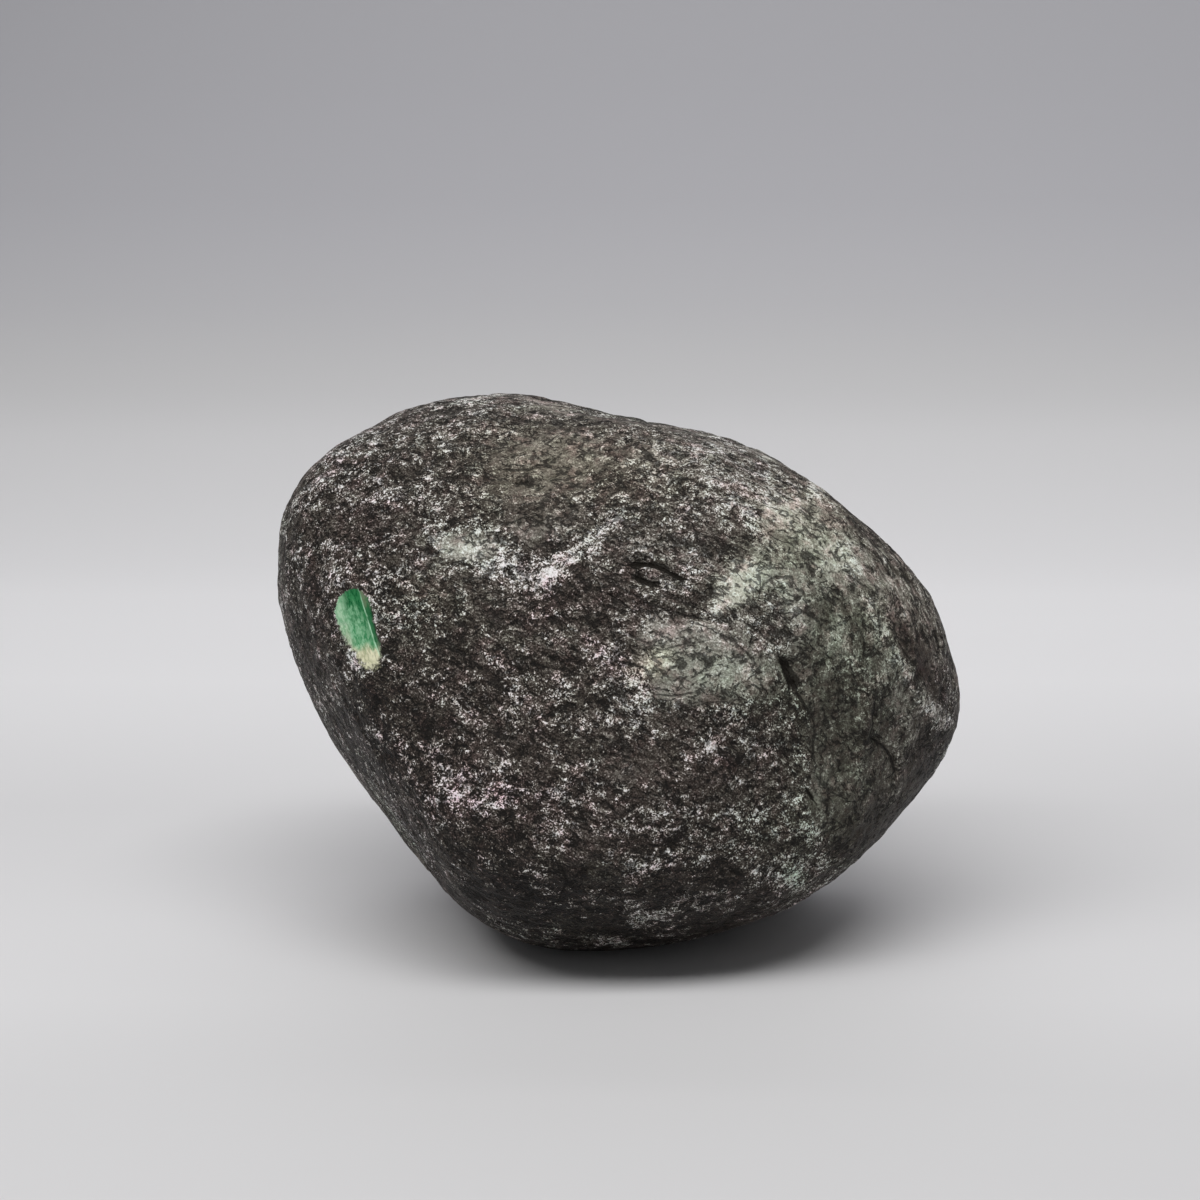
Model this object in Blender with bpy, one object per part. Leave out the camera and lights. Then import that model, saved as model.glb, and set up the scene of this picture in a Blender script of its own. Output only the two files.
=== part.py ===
"""A raw jadeite river boulder with its weathered rind, resting on the small worn flat under it.

Metres, +Z up. The front faces -Y and the long end points to +X. The origin is under the
middle of the boulder's bounding box, at the level of the surface it rests on.

The stone is one solid. Its shape is what a river leaves of an angular block: a set of worn
flats, met at soft edges, with a few shallow hollows and swells. Each flat is described from
a centre inside the stone by the direction it faces and its distance.
"""

import math

import bmesh
import bpy
from mathutils import Vector, noise

# ---------------------------------------------------------------- driving dimensions
MM = 0.001
FRONT_TILT = 13.0  # degrees: the plane of the front outline leans back by this much
EDGE_SHARPNESS = 11.0  # the higher, the crisper the edges between worn flats
BASE_DISTANCE = 51.0  # mm, centre of the stone to the flat it rests on
BASE_WEAR = 1.1  # mm worn off the lowest point, which opens the resting flat
SURFACE_STEPS = 5  # icosphere subdivisions: 5120 triangles, about 4 mm each

# Worn flats. angle: round the front outline, in degrees counter-clockwise from the +X end.
# lean: how far the flat turns away from the front (+) or towards it (-). distance: mm.
WORN_FLATS = [
    # name, angle, lean, distance
    ("right_tip", 350, -4, 70.8),
    ("right_cheek", 30, 10, 55.0),
    ("upper_right", 54, 2, 52.0),
    ("crown_right", 77, -2, 48.0),
    ("crown_left", 114, 2, 62.5),
    ("shoulder", 140, 0, 73.5),
    ("left_end", 177, 0, 69.2),
    ("lower_left", 214, -10, 50.0),
    ("keel_left", 244, 0, 59.0),
    ("keel_right", 292, -8, 54.3),
    ("lower_right", 318, 2, 57.0),
    ("front", 165, -80, 44.0),
    ("front_right", 335, -64, 47.5),
    ("brow", 104, -60, 44.5),
    ("front_top", 92, -36, 50.0),
    ("front_top_right", 52, -44, 50.0),
    ("left_cheek", 186, -38, 59.0),
    ("right_side", 350, -38, 57.0),
    ("front_low", 268, -32, 53.0),
    ("back", 30, 84, 43.0),
    ("back_top", 80, 42, 50.0),
    ("back_left", 170, 44, 56.0),
    ("back_right", 5, 46, 54.0),
    ("back_low", 250, 44, 51.0),
]

# Hollows (+) and swells (-): angle, lean, depth as a share of the radius, angular radius.
HOLLOWS = [
    (92, -6, 0.046, 11),  # saddle in the crown
    (36, -4, 0.042, 12),  # worn run down to the right tip
    (352, -6, -0.022, 14),  # the right tip
    (150, 0, -0.010, 9),  # the left shoulder
    (190, 0, -0.020, 10),  # the left end
    (104, -38, 0.018, 9),  # dish in the top face, left of the middle
    (64, -46, -0.012, 10),  # low swell beside it
    (340, -46, 0.014, 9),  # right cheek
    (60, 52, 0.028, 13),  # back, high on the right
    (200, 48, 0.034, 14),  # back, low on the left
    (315, 40, 0.020, 11),  # back, low on the right
    (140, 62, -0.014, 12),  # back, high on the left
]

# Slow undulation of the river-worn surface: (wavelength mm, height mm, offset of the noise)
UNDULATIONS = [(34.0, 0.75, 3.1), (15.0, 0.38, 11.7), (8.0, 0.16, 27.3)]


def direction(angle, lean):
    """Unit vector of a flat that faces `angle` round the front outline and leans back by `lean`."""
    a, l, t = math.radians(angle), math.radians(lean), math.radians(FRONT_TILT)
    right = Vector((1.0, 0.0, 0.0))
    up = Vector((0.0, math.sin(t), math.cos(t)))
    away = Vector((0.0, math.cos(t), -math.sin(t)))
    return math.cos(l) * (math.cos(a) * right + math.sin(a) * up) + math.sin(l) * away


def surface_point(d, flats, hollows):
    """The stone's surface, in mm from its centre, along the unit vector d."""
    total = max(-d.z / BASE_DISTANCE, 0.0) ** EDGE_SHARPNESS
    for normal, distance in flats:
        total += max(d.dot(normal) / distance, 0.0) ** EDGE_SHARPNESS
    r = total ** (-1.0 / EDGE_SHARPNESS)
    for towards, depth, width in hollows:
        off = math.degrees(math.acos(max(-1.0, min(1.0, d.dot(towards)))))
        r *= 1.0 - depth * math.exp(-((off / width) ** 2))
    p = d * r
    low = min(1.0, max(0.0, (p.z + BASE_DISTANCE) / 8.0))  # the base stays even
    for wavelength, height, offset in UNDULATIONS:
        q = p / wavelength + Vector((offset, -offset, 0.5 * offset))
        r += low * height * noise.noise(q)
    return d * r


def boulder_mesh():
    flats = [(direction(a, l), h) for _, a, l, h in WORN_FLATS]
    hollows = [(direction(a, l), k, w) for a, l, k, w in HOLLOWS]
    bm = bmesh.new()
    bmesh.ops.create_icosphere(bm, subdivisions=SURFACE_STEPS, radius=1.0)
    for v in bm.verts:
        v.co = surface_point(v.co.normalized(), flats, hollows)

    # The stone has worn a small flat where it rests.
    ground = min(v.co.z for v in bm.verts) + BASE_WEAR
    for v in bm.verts:
        v.co.z = max(v.co.z, ground)

    # Stand it on the ground, with the origin under the middle of its box.
    xs = [v.co.x for v in bm.verts]
    ys = [v.co.y for v in bm.verts]
    middle = Vector(((min(xs) + max(xs)) / 2, (min(ys) + max(ys)) / 2, ground))
    for v in bm.verts:
        v.co = (v.co - middle) * MM
    bmesh.ops.recalc_face_normals(bm, faces=bm.faces)

    mesh = bpy.data.meshes.new("boulder")
    bm.to_mesh(mesh)
    bm.free()
    mesh.shade_smooth()
    return mesh


def rind_material():
    """The dark, slightly waxy weathering rind."""
    mat = bpy.data.materials.new("rind")
    mat.use_nodes = True
    bsdf = mat.node_tree.nodes["Principled BSDF"]
    bsdf.inputs["Base Color"].default_value = (0.075, 0.068, 0.062, 1.0)
    bsdf.inputs["Roughness"].default_value = 0.62
    bsdf.inputs["Metallic"].default_value = 0.0
    return mat


def main():
    for obj in list(bpy.data.objects):
        bpy.data.objects.remove(obj, do_unlink=True)
    parts = bpy.data.collections.new("raw_jade_boulder")
    bpy.context.scene.collection.children.link(parts)
    boulder = bpy.data.objects.new("boulder", boulder_mesh())
    boulder.data.materials.append(rind_material())
    parts.objects.link(boulder)


main()
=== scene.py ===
"""A raw jadeite boulder on a plain pale sweep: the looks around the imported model.

The stone is one closed mesh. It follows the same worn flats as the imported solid, and adds what the
solid leaves out: the uneven skin, the ledges of the grain, the crevices and scars, and the small
window ground through the rind. Lengths on the stone are in mm until the mesh is written.
"""

import math

import bmesh
import bpy
import numpy as np
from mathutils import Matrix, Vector, noise


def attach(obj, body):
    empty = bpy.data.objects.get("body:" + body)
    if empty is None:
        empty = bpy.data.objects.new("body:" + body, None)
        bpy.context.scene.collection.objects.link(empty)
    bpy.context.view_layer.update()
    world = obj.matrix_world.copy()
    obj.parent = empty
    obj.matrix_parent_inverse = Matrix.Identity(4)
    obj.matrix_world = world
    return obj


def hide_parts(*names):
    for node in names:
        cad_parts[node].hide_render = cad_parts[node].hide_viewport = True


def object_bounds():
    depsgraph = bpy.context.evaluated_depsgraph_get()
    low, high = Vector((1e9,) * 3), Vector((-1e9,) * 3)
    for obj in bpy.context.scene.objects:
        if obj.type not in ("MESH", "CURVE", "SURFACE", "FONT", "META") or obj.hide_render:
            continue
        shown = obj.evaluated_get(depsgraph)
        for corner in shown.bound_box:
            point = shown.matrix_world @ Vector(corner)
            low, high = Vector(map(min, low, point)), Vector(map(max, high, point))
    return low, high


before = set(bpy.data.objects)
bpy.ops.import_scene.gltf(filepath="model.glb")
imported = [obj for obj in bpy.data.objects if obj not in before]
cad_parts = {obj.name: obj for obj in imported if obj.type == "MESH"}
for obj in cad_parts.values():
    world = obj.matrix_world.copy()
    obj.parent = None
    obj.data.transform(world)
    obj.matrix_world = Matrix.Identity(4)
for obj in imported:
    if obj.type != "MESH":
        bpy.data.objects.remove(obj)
cad_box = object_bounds()

MM = 0.001

# ------------------------------------------------------------------ the stone's worn flats
FRONT_TILT = 13.0
EDGE_SHARPNESS = 11.0
BASE_DISTANCE = 51.0
BASE_WEAR = 1.1
WORN_FLATS = [
    # angle round the front outline, lean away from the front, distance
    (350, -4, 70.8), (30, 10, 55.0), (54, 2, 52.0), (77, -2, 48.0), (114, 2, 62.5),
    (140, 0, 73.5), (177, 0, 69.2), (214, -10, 50.0), (244, 0, 59.0), (292, -8, 54.3),
    (318, 2, 57.0), (165, -80, 44.0), (335, -64, 47.5), (104, -60, 44.5), (92, -36, 50.0),
    (52, -44, 50.0), (186, -38, 59.0), (350, -38, 57.0), (268, -32, 53.0), (30, 84, 43.0),
    (80, 42, 50.0), (170, 44, 56.0), (5, 46, 54.0), (250, 44, 51.0),
]  # fmt: skip
HOLLOWS = [
    # angle, lean, depth as a share of the radius, angular radius
    (92, -6, 0.046, 11), (36, -4, 0.042, 12), (352, -6, -0.022, 14), (150, 0, -0.010, 9),
    (190, 0, -0.020, 10), (104, -38, 0.018, 9), (64, -46, -0.012, 10), (340, -46, 0.014, 9),
    (60, 52, 0.028, 13), (200, 48, 0.034, 14), (315, 40, 0.020, 11), (140, 62, -0.014, 12),
]  # fmt: skip
UNDULATIONS = [(34.0, 0.75, 3.1), (15.0, 0.38, 11.7), (8.0, 0.16, 27.3)]

# ------------------------------------------------------------------ the frame the camera keeps
FRAME = 1200.0  # pixels a side
PX_MM = 0.185  # one pixel at the stone's centre
CENTRE_PX = (621.0, 672.0)  # where that centre falls in the frame
DISTANCE = 460.0  # mm, camera to the stone's centre

TILT = math.radians(FRONT_TILT)
RIGHT = np.array([1.0, 0.0, 0.0])
UP = np.array([0.0, math.sin(TILT), math.cos(TILT)])
AWAY = np.array([0.0, math.cos(TILT), -math.sin(TILT)])


def direction(angle, lean):
    a, l = math.radians(angle), math.radians(lean)
    return math.cos(l) * (math.cos(a) * RIGHT + math.sin(a) * UP) + math.sin(l) * AWAY


def macro_radius(d):
    """Distance from the stone's centre to its surface along each unit vector in d."""
    total = np.maximum(-d[:, 2] / BASE_DISTANCE, 0.0) ** EDGE_SHARPNESS
    for angle, lean, distance in WORN_FLATS:
        total += np.maximum(d @ direction(angle, lean) / distance, 0.0) ** EDGE_SHARPNESS
    r = total ** (-1.0 / EDGE_SHARPNESS)
    for angle, lean, depth, width in HOLLOWS:
        off = np.degrees(np.arccos(np.clip(d @ direction(angle, lean), -1, 1)))
        r *= 1.0 - depth * np.exp(-((off / width) ** 2))
    p = d * r[:, None]
    low = np.clip((p[:, 2] + BASE_DISTANCE) / 8.0, 0, 1)
    for wavelength, height, offset in UNDULATIONS:
        q = p / wavelength + np.array([offset, -offset, 0.5 * offset])
        r = r + low * height * np.array([noise.noise(v) for v in q.tolist()])
    return r


def smoothstep(x, low, high):
    t = np.clip((x - low) / (high - low), 0.0, 1.0)
    return t * t * (3.0 - 2.0 * t)


# ------------------------------------------------------------------ gradient noise, in numpy
_rng = np.random.default_rng(20)
_PERM = _rng.permutation(256)
_GRAD = _rng.normal(size=(256, 3))
_GRAD /= np.linalg.norm(_GRAD, axis=1, keepdims=True)


def gradient_noise(p, seed=0):
    """About -1 to 1, with features about one unit across."""
    i = np.floor(p).astype(np.int64)
    f = p - i
    w = f * f * f * (f * (f * 6.0 - 15.0) + 10.0)
    out = np.zeros(len(p))
    for dx in (0, 1):
        for dy in (0, 1):
            for dz in (0, 1):
                h = _PERM[(i[:, 0] + dx + 37 * seed) & 255]
                h = _PERM[(h + i[:, 1] + dy) & 255]
                h = _PERM[(h + i[:, 2] + dz) & 255]
                g = _GRAD[h]
                dot = (
                    g[:, 0] * (f[:, 0] - dx) + g[:, 1] * (f[:, 1] - dy) + g[:, 2] * (f[:, 2] - dz)
                )
                wx = w[:, 0] if dx else 1.0 - w[:, 0]
                wy = w[:, 1] if dy else 1.0 - w[:, 1]
                wz = w[:, 2] if dz else 1.0 - w[:, 2]
                out += dot * wx * wy * wz
    return out * 1.6


def fbm(p, wavelength, octaves=3, seed=0, gain=0.5):
    out, amp, total = np.zeros(len(p)), 1.0, 0.0
    for k in range(octaves):
        out += amp * gradient_noise(p / wavelength + 17.3 * (k + 1), seed + 5 * k)
        total += amp
        amp *= gain
        wavelength *= 0.5
    return out / total


def stretched(p, angle, along):
    """p with the direction at this angle in the front plane squeezed, so that noise runs along it."""
    a = math.radians(angle)
    axis = math.cos(a) * RIGHT + math.sin(a) * UP
    return p - np.outer(p @ axis, axis) * (1.0 - 1.0 / along)


def to_frame(p):
    """Pixel column and row of each point (mm from the stone's centre)."""
    depth = p @ AWAY + DISTANCE
    scale = DISTANCE / depth / PX_MM
    return CENTRE_PX[0] + p @ RIGHT * scale, CENTRE_PX[1] - p @ UP * scale


def ray_to(x, y):
    """The line of sight through a place in the frame, as long as the way to the centre's plane."""
    return DISTANCE * AWAY + PX_MM * ((x - CENTRE_PX[0]) * RIGHT + (CENTRE_PX[1] - y) * UP)


def seen_at(x, y):
    """The point of the worn flats that shows at this place in the frame."""
    steps = np.linspace(0.80, 1.05, 400)
    p = -DISTANCE * AWAY + np.outer(steps, ray_to(x, y))
    length = np.linalg.norm(p, axis=1)
    hit = np.argmax(length < macro_radius(p / length[:, None]))
    return p[hit]


# ------------------------------------------------------------------ a grid on the sphere
GRID = 126  # quads along each side of the cube: 190,512 triangles in all
FRONT_SHARE = 0.22  # crowds the grid towards the front
WINDOW_MID = (360.0, 630.0)  # middle of the ground window in the frame
WINDOW_CROWD, WINDOW_REACH = 0.5, 11.0  # the grid is this much finer at it, out to this many degrees


def sphere_grid():
    """Unit vectors, quads, and one UV chart for each side of a cube projected on the sphere."""
    n = GRID
    a = np.arange(n + 1)
    i, j = np.meshgrid(a, a, indexing="ij")
    lo, hi = np.zeros_like(i), np.full_like(i, n)
    # side: (x, y, z) lattice coordinates with u = i and v = j running so that faces point out
    sides = {
        "front": (i, lo, j),
        "back": (n - i, hi, j),
        "right": (hi, i, j),
        "left": (lo, n - i, j),
        "top": (i, j, hi),
        "under": (i, n - j, lo),
    }
    charts = {  # lower left corner, width, height
        "front": (0.0, 0.5, 0.5, 0.5),
        "top": (0.5, 0.667, 0.5, 0.333),
        "right": (0.5, 0.333, 0.5, 0.333),
        "left": (0.5, 0.0, 0.5, 0.333),
        "back": (0.0, 0.0, 0.25, 0.5),
        "under": (0.25, 0.0, 0.25, 0.5),
    }
    gap = 0.004
    keys, quads, uvs = [], [], []
    for name, (x, y, z) in sides.items():
        key = (x * (n + 1) + y) * (n + 1) + z
        keys.append(key.ravel())
        q = np.stack([key[:-1, :-1], key[1:, :-1], key[1:, 1:], key[:-1, 1:]], -1)
        quads.append(q.reshape(-1, 4))
        x0, y0, w, h = charts[name]
        u = x0 + gap + (w - 2 * gap) * i / n
        v = y0 + gap + (h - 2 * gap) * j / n
        c = np.stack([u, v], -1)
        c = np.stack([c[:-1, :-1], c[1:, :-1], c[1:, 1:], c[:-1, 1:]], 2)
        uvs.append(c.reshape(-1, 4, 2))
    unique = np.unique(np.concatenate(keys))
    quads = np.searchsorted(unique, np.concatenate(quads))
    lattice = np.stack([unique // (n + 1) ** 2, unique // (n + 1) % (n + 1), unique % (n + 1)], 1)
    p = np.tan((lattice / n * 2.0 - 1.0) * math.pi / 4)
    p /= np.linalg.norm(p, axis=1, keepdims=True)
    # The cube's front side faces the camera.
    p = p[:, :1] * RIGHT + p[:, 1:2] * AWAY + p[:, 2:] * UP
    p -= FRONT_SHARE * AWAY
    p /= np.linalg.norm(p, axis=1, keepdims=True)
    # It is finer at the ground window, which is small and has crisp edges.
    middle = seen_at(*WINDOW_MID)
    middle /= np.linalg.norm(middle)
    off = np.degrees(np.arccos(np.clip(p @ middle, -1, 1)))
    pull = WINDOW_CROWD * np.exp(-((off / WINDOW_REACH) ** 2))
    p += pull[:, None] * (middle - p)
    p /= np.linalg.norm(p, axis=1, keepdims=True)
    return p, quads, np.concatenate(uvs)


def vertex_normals(p, quads):
    d1, d2 = p[quads[:, 2]] - p[quads[:, 0]], p[quads[:, 3]] - p[quads[:, 1]]
    face = np.cross(d1, d2)
    out = np.zeros_like(p)
    for k in range(4):
        np.add.at(out, quads[:, k], face)
    return out / np.linalg.norm(out, axis=1, keepdims=True)


def solid_offset():
    """Centre of the stone to the origin of the frame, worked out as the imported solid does."""
    bm = bmesh.new()
    bmesh.ops.create_icosphere(bm, subdivisions=5, radius=1.0)
    d = np.array([v.co.normalized()[:] for v in bm.verts])
    bm.free()
    p = d * macro_radius(d)[:, None]
    ground = p[:, 2].min() + BASE_WEAR
    return np.array([(p[:, 0].min() + p[:, 0].max()) / 2, (p[:, 1].min() + p[:, 1].max()) / 2, ground])


OFFSET = solid_offset()


# ------------------------------------------------------------------ what shows on the front
# Places are columns and rows of the frame. Radii are in pixels (5.4 to a mm).
# kind, x, y, radius along, radius across, angle (counter-clockwise), strength
PATCHES = [
    # felted bands and tufts of pale mineral grains
    ("dust", 328, 475, 34, 22, 62, 0.8),
    ("dust", 372, 428, 34, 12, 36, 0.8),
    ("dust", 375, 480, 26, 16, 20, 0.5),
    ("dust", 425, 500, 66, 9, 2, 0.7),
    ("dust", 448, 430, 22, 10, 10, 0.7),
    ("dust", 436, 537, 16, 16, 0, 1.3),
    ("dust", 492, 545, 28, 17, -20, 1.5),
    ("dust", 524, 570, 36, 12, -10, 2.1),
    ("dust", 548, 584, 16, 12, 60, 1.3),
    ("dust", 514, 584, 24, 15, 10, 1.3),
    ("dust", 857, 580, 26, 5, -60, 1.7),
    ("dust", 881, 626, 28, 4, -59, 1.7),
    ("dust", 906, 668, 26, 4, -56, 1.8),
    ("dust", 926, 702, 22, 6, -52, 1.6),
    ("smooth", 850, 610, 56, 90, -10, 0.5),
    ("grit", 872, 690, 60, 100, 0, 0.4),
    ("pink", 914, 645, 60, 12, -58, 1.0),
    ("dust", 470, 562, 24, 12, -20, 0.9),
    ("dust", 562, 560, 24, 10, 40, 2.2),
    ("dust", 590, 538, 26, 9, 42, 2.0),
    ("dust", 614, 516, 18, 8, 40, 1.0),
    ("dust", 408, 610, 24, 30, 0, 0.6),
    ("dust", 400, 618, 16, 10, 0, 0.7),
    ("dust", 352, 668, 12, 12, 0, 1.3),
    ("dust", 296, 590, 14, 44, 5, 0.5),
    ("dust", 335, 560, 18, 26, 0, 0.4),
    ("dust", 650, 470, 60, 26, 0, 0.4),
    ("dust", 690, 482, 34, 18, 10, 0.6),
    ("dust", 712, 448, 30, 9, -14, 0.7),
    ("dust", 752, 520, 26, 9, -58, 1.3),
    ("dust", 764, 474, 14, 9, -30, 1.3),
    ("dust", 775, 500, 10, 12, 0, 0.8),
    ("dust", 816, 492, 12, 9, -50, 1.4),
    ("dust", 626, 536, 12, 8, 0, 0.8),
    ("dust", 688, 556, 26, 12, -20, 0.4),
    ("dust", 720, 600, 16, 9, 40, 1.4),
    ("dust", 755, 566, 12, 20, -10, 0.8),
    ("dust", 655, 618, 20, 10, 30, 0.5),
    ("dust", 652, 664, 22, 9, 24, 1.5),
    ("dust", 606, 650, 14, 14, 60, 1.2),
    ("dust", 622, 676, 22, 11, -35, 1.3),
    ("dust", 636, 716, 30, 11, 62, 1.1),
    ("dust", 668, 700, 22, 8, -10, 0.8),
    ("dust", 708, 748, 15, 11, 20, 1.5),
    ("dust", 718, 640, 20, 9, 20, 0.6),
    ("dust", 560, 710, 30, 22, -10, 0.4),
    ("dust", 528, 703, 20, 8, 20, 0.9),
    ("dust", 482, 718, 14, 10, -30, 0.8),
    ("dust", 434, 748, 18, 7, 20, 0.8),
    ("dust", 380, 740, 6, 16, 10, 0.8),
    ("dust", 506, 760, 8, 26, 0, 0.8),
    ("dust", 455, 793, 14, 12, 0, 1.0),
    ("dust", 412, 772, 14, 10, -40, 0.8),
    ("dust", 422, 806, 18, 10, -30, 0.7),
    ("dust", 506, 800, 34, 10, 8, 1.3),
    ("dust", 560, 792, 22, 9, 10, 0.8),
    ("dust", 545, 838, 13, 26, -14, 1.1),
    ("dust", 556, 854, 12, 10, 0, 0.7),
    ("dust", 470, 862, 10, 18, -30, 0.6),
    ("dust", 612, 800, 22, 9, 0, 0.5),
    ("dust", 640, 832, 40, 20, 0, 0.4),
    ("dust", 634, 866, 14, 10, 0, 1.1),
    ("dust", 612, 905, 26, 8, -10, 0.6),
    ("dust", 640, 922, 14, 8, 0, 1.1),
    ("dust", 620, 942, 30, 5, -4, 0.9),
    ("dust", 556, 934, 12, 8, 0, 0.8),
    ("dust", 690, 862, 34, 9, -10, 0.6),
    ("dust", 732, 812, 14, 10, 0, 1.2),
    ("dust", 762, 816, 14, 9, 0, 1.1),
    ("dust", 745, 783, 10, 8, 0, 0.9),
    ("dust", 810, 830, 14, 10, 0, 1.1),
    ("dust", 770, 845, 34, 24, 10, 0.1),
    ("dust", 768, 872, 10, 7, 0, 1.1),
    ("dust", 794, 884, 16, 10, 20, 1.5),
    ("dust", 690, 905, 40, 10, 8, 0.5),
    ("dust", 790, 795, 12, 10, 0, 0.7),
    ("dust", 893, 797, 12, 8, 30, 1.0),
    ("dust", 940, 722, 10, 14, 0, 1.2),
    ("dust", 918, 690, 7, 26, 38, 0.6),
    ("dust", 955, 690, 7, 20, 10, 0.6),
    ("dust", 928, 600, 12, 30, 30, 0.3),
    # bare dark rind
    ("bare", 350, 527, 34, 15, 0, 1.2),
    ("bare", 400, 526, 24, 12, 10, 0.9),
    ("bare", 400, 470, 12, 12, 0, 0.8),
    ("bare", 474, 445, 10, 18, 20, 0.5),
    ("bare", 322, 520, 14, 30, 0, 0.7),
    ("bare", 310, 640, 22, 40, 0, 0.7),
    ("bare", 438, 578, 36, 10, 0, 0.7),
    ("bare", 600, 590, 40, 18, -12, 0.9),
    ("bare", 588, 622, 26, 30, -20, 1.0),
    ("bare", 640, 645, 16, 10, 0, 0.9),
    ("bare", 500, 612, 44, 18, -15, 0.7),
    ("bare", 450, 650, 40, 22, 0, 0.9),
    ("bare", 545, 655, 34, 18, 10, 0.9),
    ("bare", 380, 700, 30, 24, 0, 0.9),
    ("bare", 430, 720, 24, 16, 0, 0.5),
    ("bare", 470, 690, 22, 20, 0, 0.4),
    ("bare", 545, 745, 24, 20, 0, 0.7),
    ("bare", 590, 700, 16, 20, 0, 0.4),
    ("bare", 612, 748, 40, 22, 10, 1.0),
    ("bare", 685, 722, 34, 8, 8, 0.8),
    ("bare", 712, 780, 34, 18, 5, 1.2),
    ("bare", 760, 790, 20, 12, 0, 0.6),
    ("bare", 665, 780, 24, 14, 20, 0.5),
    ("bare", 420, 785, 18, 12, -30, 1.0),
    ("bare", 478, 822, 30, 12, 0, 0.5),
    ("bare", 452, 848, 22, 20, -40, 1.4),
    ("bare", 516, 850, 22, 26, -10, 1.4),
    ("bare", 585, 870, 26, 34, 0, 1.1),
    ("bare", 500, 895, 40, 20, -30, 1.0),
    ("bare", 660, 890, 26, 12, 0, 0.8),
    ("bare", 712, 882, 34, 12, 10, 1.1),
    ("bare", 590, 922, 40, 10, 0, 1.2),
    ("bare", 690, 925, 40, 10, 6, 1.0),
    ("bare", 720, 832, 22, 12, 0, 0.6),
    ("bare", 850, 850, 22, 20, 30, 0.8),
    ("bare", 915, 650, 12, 40, 32, 0.9),
    ("bare", 870, 590, 10, 40, 34, 0.6),
    ("bare", 728, 548, 26, 16, -20, 0.8),
    ("bare", 660, 545, 20, 10, -10, 0.5),
    ("bare", 655, 592, 40, 8, -14, 0.6),
    # smooth, slightly worn rind with few specks
    ("smooth", 466, 545, 34, 13, -4, 1.3),
    ("smooth", 530, 470, 62, 46, 0, 0.75),
    ("smooth", 545, 528, 40, 18, 10, 0.7),
    ("smooth", 610, 450, 80, 30, -8, 0.5),
    ("smooth", 740, 584, 32, 17, 34, 1.2),
    ("smooth", 668, 640, 34, 30, 0, 0.8),
    ("smooth", 722, 674, 70, 28, 0, 1.1),
    ("smooth", 690, 690, 40, 20, 0, 0.5),
    ("smooth", 806, 530, 34, 34, -40, 0.9),
    ("smooth", 838, 575, 26, 34, 30, 0.6),
    ("smooth", 830, 640, 34, 40, 0, 0.9),
    ("smooth", 850, 740, 46, 90, 0, 0.9),
    ("smooth", 900, 700, 44, 110, 0, 0.6),
    ("smooth", 905, 610, 44, 66, 30, 0.7),
    ("smooth", 880, 800, 70, 50, 30, 0.6),
    ("smooth", 485, 752, 22, 22, 0, 0.5),
    ("smooth", 630, 775, 36, 24, 0, 0.5),
    ("smooth", 760, 850, 36, 26, 0, 0.4),
    ("smooth", 790, 545, 50, 44, -40, 0.6),
    ("smooth", 820, 600, 30, 26, 0, 0.6),
    ("smooth", 720, 635, 40, 24, 0, 0.4),
    ("smooth", 400, 440, 60, 26, 25, 0.2),
    # harder contrast
    ("grit", 350, 530, 70, 90, 0, 0.8),
    ("grit", 360, 690, 70, 90, -20, 0.9),
    ("grit", 460, 850, 80, 100, 40, 1.0),
    ("grit", 520, 660, 70, 40, 0, 0.6),
    ("grit", 600, 910, 140, 36, 0, 0.7),
    ("grit", 730, 850, 90, 40, 10, 0.5),
    ("grit", 430, 440, 60, 30, 20, 0.4),
    # broad differences of tone; the darker patches along the lower edges are painted shade
    ("tone_and_shade", 650, 550, 56, 56, -20, 0.9),
    ("tone_and_shade", 610, 500, 50, 24, 10, 0.4),
    ("tone_and_shade", 684, 455, 46, 24, 12, 0.5),
    ("tone_and_shade", 620, 462, 24, 26, 0, -0.6),
    ("tone_and_shade", 540, 405, 54, 14, -4, 0.9),
    ("tone_and_shade", 500, 478, 26, 18, 0, -0.3),
    ("tone_and_shade", 425, 585, 26, 40, 0, 0.5),
    ("tone_and_shade", 505, 530, 20, 20, 0, 0.4),
    ("tone_and_shade", 500, 620, 30, 40, 0, 0.35),
    ("tone_and_shade", 580, 622, 22, 26, 0, 0.4),
    ("tone_and_shade", 622, 762, 30, 22, 0, 0.5),
    ("tone_and_shade", 660, 708, 40, 30, 0, 0.7),
    ("tone_and_shade", 382, 758, 26, 26, 0, -0.3),
    ("tone_and_shade", 655, 834, 34, 16, 0, -0.4),
    ("tone_and_shade", 622, 868, 26, 12, 0, 0.5),
    ("tone_and_shade", 810, 790, 70, 26, 0, 0.3),
    ("tone_and_shade", 578, 694, 22, 14, 0, -0.3),
    ("tone_and_shade", 835, 560, 34, 26, -30, 0.6),
    ("tone_and_shade", 865, 590, 24, 40, 30, 0.35),
    ("tone_and_shade", 914, 652, 46, 9, -58, -0.5),
    ("tone_and_shade", 775, 492, 34, 34, -40, 0.7),
    ("tone_and_shade", 745, 555, 24, 14, 0, 0.4),
    ("tone_and_shade", 745, 625, 70, 36, 0, 0.7),
    ("tone_and_shade", 790, 610, 30, 40, 0, 0.4),
    ("tone_and_shade", 480, 572, 50, 22, 0, 0.6),
    ("tone_and_shade", 700, 440, 60, 24, -10, 0.4),
    ("tone_and_shade", 760, 490, 50, 30, -40, 0.4),
    ("tone_and_shade", 436, 434, 40, 24, 0, 0.6),
    ("tone_and_shade", 900, 690, 14, 60, 20, 0.7),
    ("tone_and_shade", 425, 560, 16, 20, 0, 0.5),
    ("tone_and_shade", 382, 588, 20, 18, 0, -1.1),
    ("tone_and_shade", 640, 640, 30, 40, 0, 0.3),
    ("tone_and_shade", 466, 546, 34, 14, -4, 1.1),
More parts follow.
